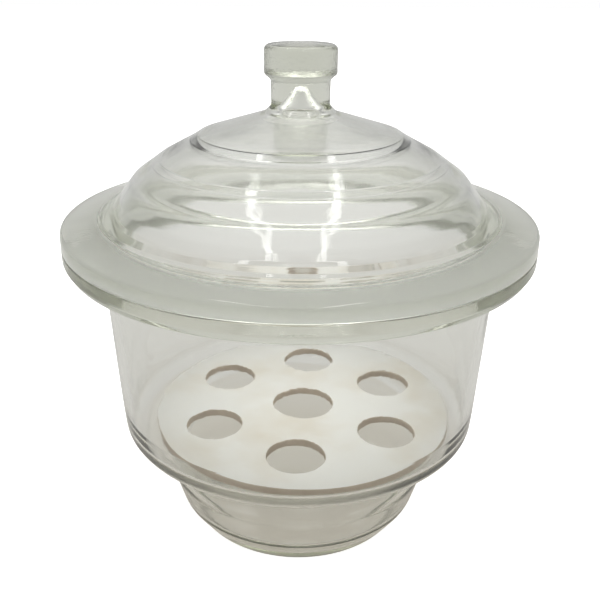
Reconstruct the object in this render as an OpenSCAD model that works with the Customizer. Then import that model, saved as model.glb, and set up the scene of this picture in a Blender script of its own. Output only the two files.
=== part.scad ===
// Glass desiccator, plain type: a pressed-glass vessel with a ground flange,
// a domed lid with a solid knob that closes it, and a perforated porcelain
// plate that stands on the ledge inside.
// Axis of symmetry on Z, foot on Z = 0. All sizes in millimetres.

/* [Flange joint] */
// Outer radius of the two ground flanges
flange_r = 135; // [130:0.5:140]
// Height of the ground joint above the foot
seam_z = 186; // [180:1:200]
// Radius of the mouth at the ground joint
mouth_r = 109.7; // [107:0.1:111]
// Width of the bevel on the edges of the ground faces
bevel = 0.6; // [0.3:0.1:1]

/* [Vessel] */
// Outer radius of the wall just under the flange
wall_top_r = 113.8; // [113:0.1:114.5]
// Outer radius of the wall just above the shoulder
wall_foot_r = 109.5; // [108.5:0.1:110.5]
// Thickness of the glass in the wall
wall_t = 4.7; // [3.5:0.1:5.5]
// Thickness of the vessel flange at its rim
flange_t = 10; // [8:0.5:11]
// Outer radius of the waist between chamber and well
waist_r = 80.8; // [80:0.1:81.5]
// Widest outer radius of the desiccant well
well_r = 83; // [82:0.1:85]
// Outer radius of the foot where it meets the table
foot_r = 67; // [64:0.5:70]
// Depth of the hollow under the foot
punt = 1.5; // [0.5:0.1:3]
// Thickness of the floor of the well
floor_t = 6; // [4:0.5:8]

/* [Ledge and plate] */
// Height of the ledge that carries the plate
ledge_z = 65; // [64:0.1:66]
// Outer radius of the flat part of the ledge
ledge_r = 96.8; // [95.5:0.1:97]
// Outer radius of the plate
plate_r = 92.5; // [88:0.5:93]
// Thickness of the plate
plate_t = 4.8; // [4:0.1:6]
// Radius of the middle hole
mid_hole_r = 19; // [10:0.5:20]
// Radius of the holes in the ring
ring_hole_r = 16.8; // [8:0.1:18]
// Radius of the circle that the ring of holes stands on
ring_r = 60; // [56:0.5:64]
// Number of holes in the ring
ring_n = 6; // [4:1:6]
// Turn of the loose plate about the vertical
plate_turn = -4; // [-30:1:30]
// How far to the side the loose plate lies on the ledge
plate_shift = 2.8; // [0:0.1:3]
// Radius that softens the edges of the plate
plate_edge = 0.8; // [0.4:0.1:1.5]

/* [Lid] */
// Thickness of the lid flange at its rim
lid_flange_t = 8.6; // [7:0.2:10]
// Radius of the root of the dome
dome_r = 105.5; // [105:0.1:107]
// Outer radius of the low collar round the root of the dome
collar_r = 114; // [112:0.1:115]
// Radius of the lower ridge
ridge_low_r = 82.5; // [81.5:0.1:83.5]
// Radius of the upper ridge
ridge_high_r = 61.1; // [60:0.1:62]
// Radius of the neck under the knob
neck_r = 16.3; // [14:0.1:18]
// Radius of the knob
knob_r = 20; // [18:0.5:24]
// Height of the top of the knob above the ground joint
knob_top = 103.7; // [100:0.1:108]
// Height of the tip of the hollow inside the neck, above the ground joint
hollow_top = 82.3; // [80:0.1:83]

/* [Hidden] */
$fn = 96;
arc_n = 5; // steps along each rounded corner

// ---- rounded outlines: each corner is [radius, height, rounding] ----
function unit(v) = v / norm(v);
function corner_round(a, p, b) =
    let (P = [p[0], p[1]],
         u = unit([a[0], a[1]] - P),
         w = unit([b[0], b[1]] - P),
         half = acos(max(-1, min(1, u * w))) / 2,
         t = p[2] / tan(half),
         c = P + unit(u + w) * p[2] / sin(half),
         s = P + u * t - c,
         e = P + w * t - c,
         a0 = atan2(s[1], s[0]),
         turn0 = atan2(e[1], e[0]) - a0,
         turn = turn0 > 180 ? turn0 - 360 : turn0 < -180 ? turn0 + 360 : turn0)
    [for (k = [0 : arc_n]) c + p[2] * [cos(a0 + turn * k / arc_n), sin(a0 + turn * k / arc_n)]];
function rounded(path) = [
    for (i = [0 : len(path) - 1])
        if (i == 0 || i == len(path) - 1 || len(path[i]) < 3) [path[i][0], path[i][1]]
        else each corner_round(path[i - 1], path[i], path[i + 1])
];

// ---- vessel ----
function vessel_outside() = [
    [0, punt],
    [foot_r - 14, punt, 3],
    [foot_r - 9, 0, 3],
    [foot_r, 0, 4],
    [well_r - 6.4, 14, 14],
    [well_r, 36, 16],
    [waist_r, 50, 10],
    [waist_r, ledge_z - 9, 2.5],
    [waist_r + 3.7, ledge_z - 5.8, 2.5],
    [wall_foot_r - 13.5, ledge_z - 4.6, 10],
    [wall_foot_r - 1.2, 68.4, 7],
    [wall_foot_r, 85, 30],
    [wall_top_r, seam_z - 15.8, 4.5],
    [flange_r - 2.6, seam_z - flange_t - 0.8, 3],
    [flange_r, seam_z - flange_t + 3.5, 3],
    [flange_r, seam_z - bevel],
    [flange_r - bevel, seam_z]
];
function vessel_inside() = [
    [mouth_r + bevel, seam_z],
    [mouth_r, seam_z - bevel],
    [wall_foot_r - wall_t, 84, 14],
    [wall_foot_r - wall_t - 1.2, 74, 6],
    [ledge_r, ledge_z, 1],
    [84, ledge_z, 2],
    [waist_r - 2.6, ledge_z - 2.4, 4],
    [waist_r - 4.8, 54, 12],
    [well_r - 4.8, 36, 16],
    [well_r - 11.1, 14.5, 12],
    [foot_r - 7, punt + floor_t, 8],
    [0, punt + floor_t]
];
module vessel() {
    color([0.78, 0.80, 0.76, 0.5])
        rotate_extrude()
            polygon(concat(rounded(vessel_outside()), rounded(vessel_inside())));
}

// ---- lid, heights counted from the ground joint ----
function up(path) = [for (p = path) len(p) > 2 ? [p[0], p[1] + seam_z, p[2]] : [p[0], p[1] + seam_z]];
// each ridge is a low ring band with a small step at both of its edges
function ridge(r_out, z_out, r_in, z_in) = [
    [r_out + 0.5, z_out - 0.65, 0.6],
    [r_out, z_out, 0.5],
    [r_in + 0.5, z_in - 0.65, 0.6],
    [r_in, z_in, 0.5]
];
function lid_outside() = up(concat([
    [mouth_r + bevel, 0],
    [flange_r - bevel, 0],
    [flange_r, bevel],
    [flange_r, lid_flange_t, 2.4],
    [collar_r + 2.2, 13.1, 2],
    [collar_r + 0.4, 13.2, 0.8],
    [collar_r - 0.8, 15, 0.8],
    [dome_r + 2.3, 16.3, 1.2],
    [dome_r, 17.9, 1.5],
    [93.8, 33.2, 16]
], ridge(ridge_low_r, 41.2, ridge_low_r - 3.7, 43.8), ridge(ridge_high_r, 53.4, ridge_high_r - 4.2, 56.4), [
    [neck_r + 4.2, 67.3, 3],
    [neck_r - 0.1, 71.1, 4],
    [neck_r + 0.1, 84.4],
    [neck_r + 0.9, 85.5],
    [knob_r, 88, 1.5],
    [knob_r, knob_top - 0.5, 3],
    [0, knob_top]
]));
function lid_inside() = up([
    [0, hollow_top],
    [2, hollow_top - 0.5, 1.8],
    [4.4, hollow_top - 5.3, 4],
    [7.4, 71.5, 6],
    [12, 64, 7],
    [21, 60.2, 8],
    [57, 50.3, 60],
    [81, 36.3, 60],
    [92.3, 27.3, 30],
    [98.5, 20, 30],
    [104.6, 11, 8],
    [mouth_r, 4, 5],
    [mouth_r, bevel]
]);
module lid() {
    color([0.74, 0.76, 0.72, 0.5])
        rotate_extrude()
            polygon(concat(rounded(lid_outside()), rounded(lid_inside())));
}

// ---- perforated plate ----
module plate_disc() {
    rotate_extrude()
        polygon([
            [0, 0],
            [plate_r - plate_edge, 0],
            [plate_r, plate_edge],
            [plate_r, plate_t - plate_edge],
            [plate_r - plate_edge, plate_t],
            [0, plate_t]
        ]);
}
module plate_hole(r) {
    translate([0, 0, -1]) cylinder(h = plate_t + 2, r = r);
}
module perforated_plate() {
    color([0.93, 0.91, 0.86])
        translate([plate_shift, 0, ledge_z])
            rotate([0, 0, plate_turn])
                difference() {
                    plate_disc();
                    plate_hole(mid_hole_r);
                    for (k = [0 : ring_n - 1])
                        rotate([0, 0, -90 + k * 360 / ring_n])
                            translate([ring_r, 0, 0])
                                plate_hole(ring_hole_r);
                }
}

vessel();
perforated_plate();
lid();
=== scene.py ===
import bpy
import math
from mathutils import Vector, Matrix, noise
from mathutils.geometry import delaunay_2d_cdt


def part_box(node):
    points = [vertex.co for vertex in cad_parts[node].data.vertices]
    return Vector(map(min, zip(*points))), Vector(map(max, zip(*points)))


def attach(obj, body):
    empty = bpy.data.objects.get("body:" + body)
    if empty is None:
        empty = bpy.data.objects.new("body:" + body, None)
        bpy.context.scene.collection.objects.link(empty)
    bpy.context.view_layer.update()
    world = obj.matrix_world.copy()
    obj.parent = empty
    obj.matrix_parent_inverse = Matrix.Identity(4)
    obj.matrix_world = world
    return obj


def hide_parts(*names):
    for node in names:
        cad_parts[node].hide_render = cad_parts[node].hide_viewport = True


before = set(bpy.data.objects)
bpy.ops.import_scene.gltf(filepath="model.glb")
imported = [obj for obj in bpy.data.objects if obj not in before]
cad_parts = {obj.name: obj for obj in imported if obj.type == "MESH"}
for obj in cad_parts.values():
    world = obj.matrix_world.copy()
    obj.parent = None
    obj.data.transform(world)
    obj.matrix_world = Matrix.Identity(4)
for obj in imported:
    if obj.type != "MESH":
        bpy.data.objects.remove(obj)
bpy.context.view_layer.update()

# ------------------------------------------------------------------ sizes
v_lo, v_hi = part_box("vessel")
l_lo, l_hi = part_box("lid")
p_lo, p_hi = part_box("perforated_plate")
MM = 0.001
FLANGE_R = (v_hi.x - v_lo.x) / 2 / MM            # 135
SEAM = v_hi.z / MM                                # 186
KNOB_TOP = (l_hi.z - l_lo.z) / MM                 # 103.7
LEDGE = p_lo.z / MM                               # 65
PLATE_T = (p_hi.z - p_lo.z) / MM                  # 4.8
PLATE_R = (p_hi.x - p_lo.x) / 2 / MM              # 92.5
PLATE_X = (p_hi.x + p_lo.x) / 2 / MM              # 2.8
MOUTH_R, BEVEL = 109.7, 0.6
SEG = 288


# ------------------------------------------------------------ profile kit
def rounded(path, steps=9):
    """Polyline in (r, z), with tangent arcs at the corners that have a third number."""
    out = []
    for i, p in enumerate(path):
        if i in (0, len(path) - 1) or len(p) < 3 or p[2] <= 0:
            out.append((float(p[0]), float(p[1])))
            continue
        P = Vector(p[:2])
        u = (Vector(path[i - 1][:2]) - P).normalized()
        w = (Vector(path[i + 1][:2]) - P).normalized()
        half = math.acos(max(-1.0, min(1.0, u.dot(w)))) / 2
        c = P + (u + w).normalized() * (p[2] / math.sin(half))
        s = P + u * (p[2] / math.tan(half)) - c
        e = P + w * (p[2] / math.tan(half)) - c
        a0 = math.atan2(s.y, s.x)
        turn = (math.atan2(e.y, e.x) - a0 + math.pi) % (2 * math.pi) - math.pi
        for k in range(steps + 1):
            a = a0 + turn * k / steps
            out.append((c.x + p[2] * math.cos(a), c.y + p[2] * math.sin(a)))
    return out


def densify(pts, longest):
    out = [pts[0]]
    for a, b in zip(pts, pts[1:]):
        n = max(1, math.ceil(math.hypot(b[0] - a[0], b[1] - a[1]) / longest))
        for k in range(1, n + 1):
            out.append((a[0] + (b[0] - a[0]) * k / n, a[1] + (b[1] - a[1]) * k / n))
    return out


def lathe(name, runs, wave=None):
    """A closed solid of revolution. runs is a list of (points, finish), each run starting where the last ended; the first and last points lie on the axis. The finish is 0 for clear glass, 1 for the ground face, and between them for worn glass; it is kept on the faces."""
    pts, mats = [], []
    for run, mat in runs:
        d = densify(run, 3.0)
        if pts and math.hypot(pts[-1][0] - d[0][0], pts[-1][1] - d[0][1]) < 1e-6:
            d = d[1:]
        start = len(pts)
        pts += d
        mats += [mat] * (len(pts) - max(start, 1))
    verts, rings = [], []
    for r, z in pts:
        if r < 1e-6:
            rings.append([len(verts)])
            verts.append(Vector((0.0, 0.0, z)))
            continue
        ring = []
        for k in range(SEG):
            a = 2 * math.pi * k / SEG
            q = Vector((r * math.cos(a), r * math.sin(a), z))
            if wave:
                q = wave(q, r, z)
            ring.append(len(verts))
            verts.append(q)
        rings.append(ring)
    faces, face_mat = [], []
    for (a, b), m in zip(zip(rings, rings[1:]), mats):
        for k in range(SEG):
            j = (k + 1) % SEG
            if len(a) == 1 and len(b) == 1:
                continue
            if len(a) == 1:
                faces.append((a[0], b[k], b[j]))
            elif len(b) == 1:
                faces.append((a[k], b[0], a[j]))
            else:
                faces.append((a[k], b[k], b[j], a[j]))
            face_mat.append(m)
    me = bpy.data.meshes.new(name)
    me.from_pydata([tuple(v * MM) for v in verts], [], faces)
    me.polygons.foreach_set("use_smooth", [True] * len(faces))
    me.attributes.new("finish", "FLOAT", "FACE").data.foreach_set("value", [float(m) for m in face_mat])
    me.update()
    ob = bpy.data.objects.new(name, me)
    bpy.context.scene.collection.objects.link(ob)
    # outward normals: the flange rim's faces must look away from the axis
    far = max(me.polygons, key=lambda f: Vector((f.center.x, f.center.y)).length)
    if far.normal.dot(Vector((far.center.x, far.center.y, 0))) < 0:
        me.flip_normals()
    return ob


def pull(z, lo, hi):
    """0 at the faces that touch something, 1 away from them."""
    t = max(0.0, min(1.0, (z - lo) / (hi - lo)))
    return t * t * (3 - 2 * t)


def pressed_wave(lo, hi, amount, seed):
    """The slight unevenness of pressed glass: broad hills with a finer ripple on them, off at the ground face and at
    the foot.
    """
    def wave(q, r, z):
        w = pull(abs(z - SEAM), 3.0, 14.0) * pull(z, lo, hi)
        if w <= 0 or r < 3:
            return q
        s = q * 0.022 + Vector((seed, seed * 0.37, -seed))
        d = noise.noise(s) * amount + noise.noise(s * 2.7) * amount * 0.35
        n = Vector((q.x, q.y, 0)).normalized()
        return q + n * (d * w * min(1.0, r / 40.0))
    return wave


GAP = 0.04  # half the air film in the ground joint, mm
# ---------------------------------------------------------------- vessel
vessel_out = rounded([
    (0, 1.5), (53, 1.5, 3), (58, 0, 3), (67, 0, 4), (76.6, 14, 14),
    (83, 36, 16), (80.8, 50, 10), (80.8, LEDGE - 9, 2.5), (84.5, LEDGE - 5.8, 2.5),
    (96, LEDGE - 4.6, 10), (108.3, 68.4, 7), (109.5, 85, 30), (113.8, SEAM - 15.8, 4.5),
    (FLANGE_R - 2.6, SEAM - 10.8, 3), (FLANGE_R, SEAM - 6.5, 3),
    (FLANGE_R, SEAM - BEVEL, 0.25), (FLANGE_R - BEVEL, SEAM - GAP)])
vessel_in = rounded([
    (MOUTH_R + BEVEL, SEAM - GAP), (MOUTH_R, SEAM - BEVEL, 0.3), (104.8, 84, 14), (103.6, 74, 6),
    (96.8, LEDGE, 1), (84, LEDGE, 2), (78.2, LEDGE - 2.4, 4), (76, 54, 12),
    (78.2, 36, 16), (71.9, 14.5, 12), (60, 7.5, 8), (0, 7.5)])
well = next(i for i, p in enumerate(vessel_in) if p[1] < LEDGE - 1.5)
# the ledge is scuffed by the plate, more and more towards its flat part
scuff = next(i for i, p in enumerate(vessel_in) if p[1] < 76)
flat = next(i for i, p in enumerate(vessel_in) if p[1] < LEDGE + 0.5)
ledge_runs = [(vessel_in[i:i + 2], 0.32 * (i - scuff + 1) / (flat - scuff + 1)) for i in range(scuff, flat)]
vessel = lathe("desiccator_vessel", [
    (vessel_out, 0),
    ([vessel_out[-1], vessel_in[0]], 1),
    (vessel_in[:scuff + 1], 0), *ledge_runs, (vessel_in[flat:well + 1], 0.32),
    (vessel_in[well:], 0.15)], pressed_wave(8.0, 30.0, 0.16, 3.1))

# ------------------------------------------------------------------- lid
def up(path):
    return [(p[0], p[1] + SEAM, *p[2:]) for p in path]


lid_out = rounded(up([
    (FLANGE_R - BEVEL, GAP), (FLANGE_R, BEVEL, 0.25), (FLANGE_R, 8.6, 2.4), (116.2, 13.1, 2),
    (114.4, 13.2, 0.8), (113.2, 15, 0.8), (107.8, 16.3, 1.2), (105.5, 17.9, 1.5), (93.8, 33.2, 16),
    (83.0, 40.72, 0.6), (82.5, 41.2, 0.5), (79.3, 43.32, 0.6), (78.8, 43.8, 0.5),
    (61.6, 52.95, 0.6), (61.1, 53.4, 0.5), (57.4, 55.62, 0.8), (56.9, 56.0, 0.6),
    (20.5, 67.3, 3), (16.2, 71.1, 4), (16.4, 84.4, 0.5), (17.2, 85.5, 0.5), (20, 88, 1.5),
    (20, KNOB_TOP - 0.5, 3.0), (0, KNOB_TOP)]))
lid_in = rounded(up([
    (0, 82.3), (2.0, 81.8, 1.8), (4.4, 77, 4), (7.4, 71.5, 6), (12, 64, 7), (21, 60.2, 8),
    (57, 50.3, 90), (81, 36.3, 60), (92.3, 27.3, 30), (98.5, 20, 30), (104.6, 11, 8),
    (MOUTH_R, 4, 5), (MOUTH_R, BEVEL, 0.25), (MOUTH_R + BEVEL, GAP)]))
lid = lathe("desiccator_lid", [
    (list(reversed(lid_out)), 0),
    ([lid_out[0], lid_in[-1]], 1),
    (list(reversed(lid_in)), 0)], pressed_wave(-50.0, -40.0, 0.08, 7.7))


# ----------------------------------------------------------------- plate
def plate_mesh():
    holes = [(0.0, 0.0, 19.0)]
    for k in range(6):
        a = math.radians(-94 + 60 * k)
        holes.append((60 * math.cos(a), 60 * math.sin(a), 16.8))
    edge, n = 0.8, 96
    loops = [(0.0, 0.0, PLATE_R, 1)] + [(x, y, r, -1) for x, y, r in holes]
    co, edges, loop_ids = [], [], []
    for x, y, r, s in loops:
        m = n * 3 if s > 0 else n
        rr = r - s * edge
        first = len(co)
        for k in range(m):
            a = 2 * math.pi * k / m
            co.append(Vector((x + rr * math.cos(a), y + rr * math.sin(a))))
        edges += [(first + k, first + (k + 1) % m) for k in range(m)]
        loop_ids.append(list(range(first, first + m)))
    step = 4.0
    for j in range(-28, 29):
        for i in range(-28, 29):
            q = Vector((i * step + (step / 2 if j % 2 else 0), j * step * 0.866))
            if q.length > PLATE_R - edge - 1.5:
                continue
            if any((q - Vector((x, y))).length < r + edge + 1.2 for x, y, r in holes):
                continue
            co.append(q)
    out_v, _, out_f, orig_v, _, _ = delaunay_2d_cdt(co, edges, [], 0, 1e-6)
    where = {}
    for new, olds in enumerate(orig_v):
        for o in olds:
            where[o] = new
    tris = []
    for f in out_f:
        c = sum((out_v[i] for i in f), Vector((0, 0))) / len(f)
        if any((c - Vector((x, y))).length < r + edge * 0.98 for x, y, r in holes):
            continue
        if (out_v[f[1]] - out_v[f[0]]).cross(out_v[f[2]] - out_v[f[0]]) < 0:
            f = list(reversed(f))
        tris.append(list(f))

    def sag(x, y):
        q = Vector((x, y, 0.0)) * 0.03
        return 0.10 * noise.noise(q + Vector((5.1, 2.2, 0))) - 0.05

    z0, z1 = LEDGE, LEDGE + PLATE_T
    verts = [Vector((v.x + PLATE_X, v.y, z1 + min(0.0, sag(v.x, v.y)))) for v in out_v]
    base = len(verts)
    verts += [Vector((v.x + PLATE_X, v.y, z0)) for v in out_v]
    faces = [tuple(t) for t in tris] + [tuple(base + i for i in reversed(t)) for t in tris]
    mats = [0] * (2 * len(tris))
    for (x, y, r, s), ids in zip(loops, loop_ids):
        m = len(ids)
        prof = [(edge * (1 - math.sin(t)), edge * (1 - math.cos(t))) for t in
                [math.pi / 2 * k / 4 for k in range(5)]]     # (in from wall, down from top)
        levels = [(r - s * d_in, z1 - down, 0 if k < 3 else 1) for k, (d_in, down) in enumerate(prof)]
        levels += [(r - s * d_in, z0 + down, 1) for d_in, down in reversed(prof)]
        prev = [where[i] for i in ids]
        for lev, (rr, zz, mt) in enumerate(levels[1:-1]):
            ring = []
            for k in range(m):
                a = 2 * math.pi * k / m
                rough = 0.06 * noise.noise(Vector((math.cos(a) * 9 + x, math.sin(a) * 9 + y, zz * 0.7)))
                ring.append(len(verts))
                verts.append(Vector((x + (rr + rough * (0.4 if s > 0 else 1) - (0.06 if s > 0 else 0)) * math.cos(a) + PLATE_X,
                                     y + (rr + rough * (0.4 if s > 0 else 1) - (0.06 if s > 0 else 0)) * math.sin(a), zz)))
            for k in range(m):
                j = (k + 1) % m
                q = (prev[k], ring[k], ring[j], prev[j])
                faces.append(q if s > 0 else tuple(reversed(q)))
                mats.append(mt)
            prev = ring
        last = [base + where[i] for i in ids]
        for k in range(m):
            j = (k + 1) % m
            q = (prev[k], last[k], last[j], prev[j])
            faces.append(q if s > 0 else tuple(reversed(q)))
            mats.append(1)
    me = bpy.data.meshes.new("porcelain_plate")
    me.from_pydata([tuple(v * MM) for v in verts], [], faces)
    me.polygons.foreach_set("material_index", mats)
    me.polygons.foreach_set("use_smooth", [True] * len(faces))
    me.update()
    me.validate()
    ob = bpy.data.objects.new("porcelain_plate", me)
    bpy.context.scene.collection.objects.link(ob)
    return ob


plate = plate_mesh()


# ------------------------------------------------------------- materials
def new_mat(name):
    m = bpy.data.materials.new(name)
    m.use_nodes = True
    nt = m.node_tree
    return m, nt, nt.nodes["Principled BSDF"], nt.nodes["Material Output"]


def node(nt, kind, **inputs):
    n = nt.nodes.new(kind)
    for k, v in inputs.items():
        n.inputs[k].default_value = v
    return n


def ramp(nt, source, stops):
    r = nt.nodes.new("ShaderNodeValToRGB")
    while len(r.color_ramp.elements) < len(stops):
        r.color_ramp.elements.new(0.5)
    for e, (pos, col) in zip(r.color_ramp.elements, stops):
        e.position = pos
        e.color = (col, col, col, 1) if isinstance(col, (int, float)) else (*col, 1)
    nt.links.new(source, r.inputs["Fac"])
    return r


def pressed_glass(name, haze):
    """Clear pressed glass, slightly smeared. The face attribute finish adds the grain of the ground face and the wear in the well; the knob keeps more of the mould's texture."""
    m, nt, p, out = new_mat(name)
    p.inputs["Base Color"].default_value = (0.985, 0.987, 0.98, 1)
    p.inputs["IOR"].default_value = 1.5
    tc = node(nt, "ShaderNodeTexCoord")
    smear = node(nt, "ShaderNodeTexNoise", Scale=26.0, Detail=4.0, Roughness=0.6)
    nt.links.new(tc.outputs["Object"], smear.inputs["Vector"])
    r = ramp(nt, smear.outputs["Fac"], [(0.40, haze[0]), (0.75, haze[1])])
    at = nt.nodes.new("ShaderNodeAttribute")
    at.attribute_name = "finish"
    grain = node(nt, "ShaderNodeTexNoise", Scale=900.0, Detail=3.0, Roughness=0.7)
    nt.links.new(tc.outputs["Object"], grain.inputs["Vector"])
    g = ramp(nt, grain.outputs["Fac"], [(0.3, 0.40), (0.7, 0.60)])
    rough = node(nt, "ShaderNodeMath")
    rough.operation = "MULTIPLY_ADD"
    nt.links.new(at.outputs["Fac"], rough.inputs[0])
    nt.links.new(g.outputs["Color"], rough.inputs[1])
    nt.links.new(r.outputs["Color"], rough.inputs[2])
    nt.links.new(rough.outputs[0], p.inputs["Roughness"])
    milk = node(nt, "ShaderNodeMath")
    milk.operation = "MULTIPLY_ADD"
    nt.links.new(at.outputs["Fac"], milk.inputs[0])
    milk.inputs[1].default_value = -0.30
    milk.inputs[2].default_value = 1.0
    nt.links.new(milk.outputs[0], p.inputs["Transmission Weight"])
    # broad ripples everywhere, and the mould's fine texture on the knob
    ripple = node(nt, "ShaderNodeTexNoise", Scale=55.0, Detail=1.0, Roughness=0.4)
    nt.links.new(tc.outputs["Object"], ripple.inputs["Vector"])
    b = node(nt, "ShaderNodeBump", Strength=0.07, Distance=0.0012)
    nt.links.new(ripple.outputs["Fac"], b.inputs["Height"])
    sep = node(nt, "ShaderNodeSeparateXYZ")
    nt.links.new(tc.outputs["Object"], sep.inputs[0])
    z = node(nt, "ShaderNodeMapRange")
    z.inputs["From Min"].default_value = (SEAM + 72) * MM
    z.inputs["From Max"].default_value = (SEAM + 86) * MM
    z.inputs["To Min"].default_value = 0.03
    z.inputs["To Max"].default_value = 1.0
    nt.links.new(sep.outputs["Z"], z.inputs["Value"])
    pit = node(nt, "ShaderNodeTexNoise", Scale=560.0, Detail=2.0, Roughness=0.6)
    nt.links.new(tc.outputs["Object"], pit.inputs["Vector"])
    h = node(nt, "ShaderNodeMath")
    h.operation = "MULTIPLY"
    nt.links.new(pit.outputs["Fac"], h.inputs[0])
    nt.links.new(z.outputs["Result"], h.inputs[1])
    b2 = node(nt, "ShaderNodeBump", Strength=0.8, Distance=0.0004)
    nt.links.new(h.outputs[0], b2.inputs["Height"])
    nt.links.new(b.outputs["Normal"], b2.inputs["Normal"])
    nt.links.new(b2.outputs["Normal"], p.inputs["Normal"])
    v = node(nt, "ShaderNodeVolumeAbsorption", Density=15.0)
    v.inputs["Color"].default_value = (0.53, 0.567, 0.37, 1)
    nt.links.new(v.outputs["Volume"], out.inputs["Volume"])
    return m


glass = pressed_glass("pressed_glass", (0.0, 0.035))
dome_glass = pressed_glass("dome_glass", (0.05, 0.105))


def porcelain():
    m, nt, p, out = new_mat("porcelain_glaze")
    tc = node(nt, "ShaderNodeTexCoord")
    big = node(nt, "ShaderNodeTexNoise", Scale=17.0, Detail=5.0, Roughness=0.55)
    nt.links.new(tc.outputs["Object"], big.inputs["Vector"])
    col = ramp(nt, big.outputs["Fac"], [(0.32, (0.86, 0.81, 0.72)), (0.50, (0.95, 0.935, 0.895)), (0.70, (0.96, 0.957, 0.935))])
    speck = node(nt, "ShaderNodeTexVoronoi", Scale=120.0)
    nt.links.new(tc.outputs["Object"], speck.inputs["Vector"])
    dots = ramp(nt, speck.outputs["Distance"], [(0.030, 1.0), (0.055, 0.0)])
    pick = node(nt, "ShaderNodeTexNoise", Scale=60.0, Detail=0.0)
    nt.links.new(tc.outputs["Object"], pick.inputs["Vector"])
    few = ramp(nt, pick.outputs["Fac"], [(0.66, 0.0), (0.68, 1.0)])
    mul = node(nt, "ShaderNodeMath")
    mul.operation = "MULTIPLY"
    nt.links.new(dots.outputs["Color"], mul.inputs[0])
    nt.links.new(few.outputs["Color"], mul.inputs[1])
    mix = node(nt, "ShaderNodeMix")
    mix.data_type = "RGBA"
    nt.links.new(mul.outputs[0], mix.inputs[0])
    nt.links.new(col.outputs["Color"], mix.inputs[6])
    mix.inputs[7].default_value = (0.30, 0.26, 0.20, 1)
    nt.links.new(mix.outputs[2], p.inputs["Base Color"])
    r = ramp(nt, big.outputs["Fac"], [(0.35, 0.52), (0.7, 0.40)])
    nt.links.new(r.outputs["Color"], p.inputs["Roughness"])
    fine = node(nt, "ShaderNodeTexNoise", Scale=70.0, Detail=3.0, Roughness=0.5)
    nt.links.new(tc.outputs["Object"], fine.inputs["Vector"])
    b = node(nt, "ShaderNodeBump", Strength=0.18, Distance=0.0008)
    nt.links.new(fine.outputs["Fac"], b.inputs["Height"])
    nt.links.new(b.outputs["Normal"], p.inputs["Normal"])
    p.inputs["Subsurface Weight"].default_value = 0.0
    return m


def bisque():
    m, nt, p, out = new_mat("porcelain_bare")
    tc = node(nt, "ShaderNodeTexCoord")
    n = node(nt, "ShaderNodeTexNoise", Scale=45.0, Detail=6.0, Roughness=0.65)
    nt.links.new(tc.outputs["Object"], n.inputs["Vector"])
    col = ramp(nt, n.outputs["Fac"], [(0.3, (0.50, 0.40, 0.30)), (0.7, (0.68, 0.58, 0.47))])
    nt.links.new(col.outputs["Color"], p.inputs["Base Color"])
    fine = node(nt, "ShaderNodeTexNoise", Scale=1400.0, Detail=2.0, Roughness=0.7)
    nt.links.new(tc.outputs["Object"], fine.inputs["Vector"])
    r = ramp(nt, fine.outputs["Fac"], [(0.3, 0.78), (0.7, 0.92)])
    nt.links.new(r.outputs["Color"], p.inputs["Roughness"])
    b = node(nt, "ShaderNodeBump", Strength=0.35, Distance=0.0002)
    nt.links.new(fine.outputs["Fac"], b.inputs["Height"])
    nt.links.new(b.outputs["Normal"], p.inputs["Normal"])
    return m


vessel.data.materials.append(glass)
lid.data.materials.append(dome_glass)
plate.data.materials.append(porcelain())
plate.data.materials.append(bisque())

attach(vessel, "vessel"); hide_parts("vessel")
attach(lid, "lid"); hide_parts("lid")
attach(plate, "plate"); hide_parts("perforated_plate")

# ----------------------------------------------------------------- stage
scene = bpy.context.scene
floor_me = bpy.data.meshes.new("floor")
S = 6.0
floor_me.from_pydata([(-S, -S, 0), (S, -S, 0), (S, S, 0), (-S, S, 0)], [], [(0, 1, 2, 3)])
floor = bpy.data.objects.new("floor", floor_me)
floor.location = (0, 0, -0.0002)
scene.collection.objects.link(floor)
fm, nt, p, out = new_mat("pale_floor")
p.inputs["Roughness"].default_value = 0.9
p.inputs["Base Color"].default_value = (0.80, 0.80, 0.78, 1)
# the camera sees the pale floor lit and brightened; rays through the glass see a dim diffuse floor plus a painted glow,
# darker and warmer near the object as a painted shadow and lighter further out
lp = node(nt, "ShaderNodeLightPath")
em = node(nt, "ShaderNodeEmission", Strength=0.75)
add = node(nt, "ShaderNodeAddShader")
df = node(nt, "ShaderNodeBsdfDiffuse")
df.inputs["Color"].default_value = (0.15, 0.148, 0.142, 1)
painted_floor_glow = node(nt, "ShaderNodeEmission", Strength=1.0)
tcf = node(nt, "ShaderNodeTexCoord")
far = node(nt, "ShaderNodeVectorMath")
far.operation = "LENGTH"
nt.links.new(tcf.outputs["Object"], far.inputs[0])
painted_floor_shadow = ramp(nt, far.outputs["Value"], [(0.10, (0.46, 0.43, 0.38)), (0.22, (0.50, 0.49, 0.475)), (0.80, (0.56, 0.56, 0.555))])
nt.links.new(painted_floor_shadow.outputs["Color"], painted_floor_glow.inputs["Color"])
under = node(nt, "ShaderNodeAddShader")
mixs = node(nt, "ShaderNodeMixShader")
nt.links.new(p.outputs[0], add.inputs[0])
nt.links.new(em.outputs[0], add.inputs[1])
nt.links.new(df.outputs[0], under.inputs[0])
nt.links.new(painted_floor_glow.outputs[0], under.inputs[1])
nt.links.new(lp.outputs["Is Camera Ray"], mixs.inputs[0])
nt.links.new(under.outputs[0], mixs.inputs[1])
nt.links.new(add.outputs[0], mixs.inputs[2])
nt.links.new(mixs.outputs[0], out.inputs["Surface"])
floor_me.materials.append(fm)

world = bpy.data.worlds.new("studio")
scene.world = world
world.use_nodes = True
nt = world.node_tree
bg = nt.nodes["Background"]
tc = node(nt, "ShaderNodeTexCoord")
sep = node(nt, "ShaderNodeSeparateXYZ")
nt.links.new(tc.outputs["Generated"], sep.inputs[0])


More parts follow.
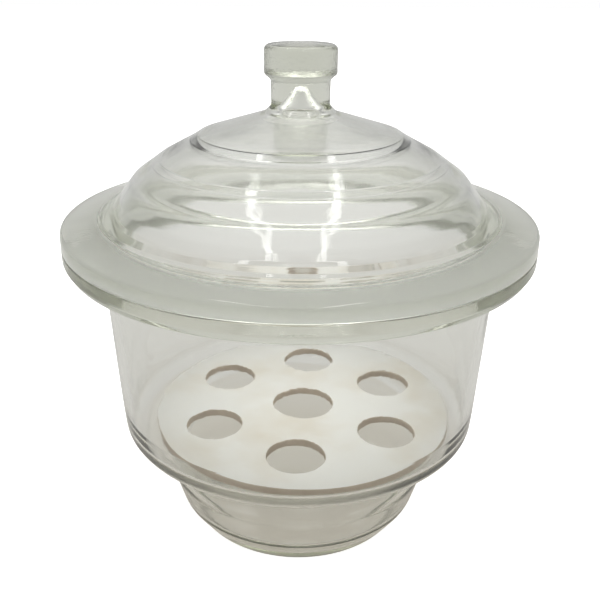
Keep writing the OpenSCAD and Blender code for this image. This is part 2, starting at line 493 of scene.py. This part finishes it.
def level(source, lo, hi, amount):
    mp = node(nt, "ShaderNodeMapRange")
    mp.interpolation_type = "SMOOTHSTEP"
    mp.inputs["From Min"].default_value = lo
    mp.inputs["From Max"].default_value = hi
    mp.inputs["To Min"].default_value = 0.0
    mp.inputs["To Max"].default_value = amount
    nt.links.new(source, mp.inputs["Value"])
    return mp.outputs["Result"]


def plus(a, b):
    m = node(nt, "ShaderNodeMath")
    m.operation = "ADD"
    nt.links.new(a, m.inputs[0])
    if isinstance(b, float):
        m.inputs[1].default_value = b
    else:
        nt.links.new(b, m.inputs[1])
    return m.outputs[0]


# a calm grey studio: lighter behind the object, in front of it and overhead
lp = node(nt, "ShaderNodeLightPath")
above = node(nt, "ShaderNodeMath")
above.operation = "MULTIPLY_ADD"
nt.links.new(lp.outputs["Is Transmission Ray"], above.inputs[0])
above.inputs[1].default_value = 0.40
above.inputs[2].default_value = 0.98
top = node(nt, "ShaderNodeMath")
top.operation = "MULTIPLY"
nt.links.new(level(sep.outputs["Z"], 0.32, 0.92, 1.0), top.inputs[0])
nt.links.new(above.outputs[0], top.inputs[1])
ends = plus(level(sep.outputs["Y"], 0.60, 0.92, 0.20), level(sep.outputs["Y"], -0.85, -0.05, -0.14))
ends = plus(ends, level(sep.outputs["X"], -0.9, -0.1, -0.08))
lobe = node(nt, "ShaderNodeMath")
lobe.operation = "MULTIPLY"
nt.links.new(level(sep.outputs["Z"], 0.75, 0.98, 0.65), lobe.inputs[0])
nt.links.new(lp.outputs["Is Transmission Ray"], lobe.inputs[1])
grey = plus(plus(plus(ends, top.outputs[0]), lobe.outputs[0]), 0.64)
mixc = node(nt, "ShaderNodeMix")
mixc.data_type = "RGBA"
nt.links.new(lp.outputs["Is Camera Ray"], mixc.inputs[0])
nt.links.new(grey, mixc.inputs[6])
mixc.inputs[7].default_value = (1.0, 1.0, 1.0, 1)
nt.links.new(mixc.outputs[2], bg.inputs["Color"])
bg.inputs["Strength"].default_value = 1.0


def strip(name, x, y, z, width, length, power):
    """A long plain softbox under the ceiling, running from front to back."""
    li = bpy.data.lights.new(name, "AREA")
    li.shape = "RECTANGLE"
    li.size, li.size_y = width, length
    li.energy = power
    ob = bpy.data.objects.new(name, li)
    ob.location = (x, y, z)
    scene.collection.objects.link(ob)
    return ob


strip("strip_left", -0.43, -0.75, 1.57, 0.075, 2.5, 3.6)
strip("strip_right", 0.33, -0.75, 1.57, 0.075, 2.5, 3.6)

# ---------------------------------------------------------------- camera
cam_data = bpy.data.cameras.new("camera")
cam = bpy.data.objects.new("camera", cam_data)
scene.collection.objects.link(cam)
scene.camera = cam
R = FLANGE_R * MM
cam_data.sensor_width = 36
cam_data.lens = 36 * 791.6 / 600
cam_data.shift_x = 0.0013
cam_data.dof.use_dof = False
cam_data.clip_start = 0.01
pitch, roll = math.radians(23.20), math.radians(0.4)
cam.location = (0, -3.284 * R, SEAM * MM + 1.067 * R)
cam.matrix_world = (Matrix.Translation(cam.location)
                    @ Matrix.Rotation(math.pi / 2 - pitch, 4, "X")
                    @ Matrix.Rotation(roll, 4, "Z"))

scene.view_settings.view_transform = "Standard"
scene.cycles.max_bounces = 24
scene.cycles.transmission_bounces = 24
scene.cycles.glossy_bounces = 8
scene.cycles.diffuse_bounces = 6
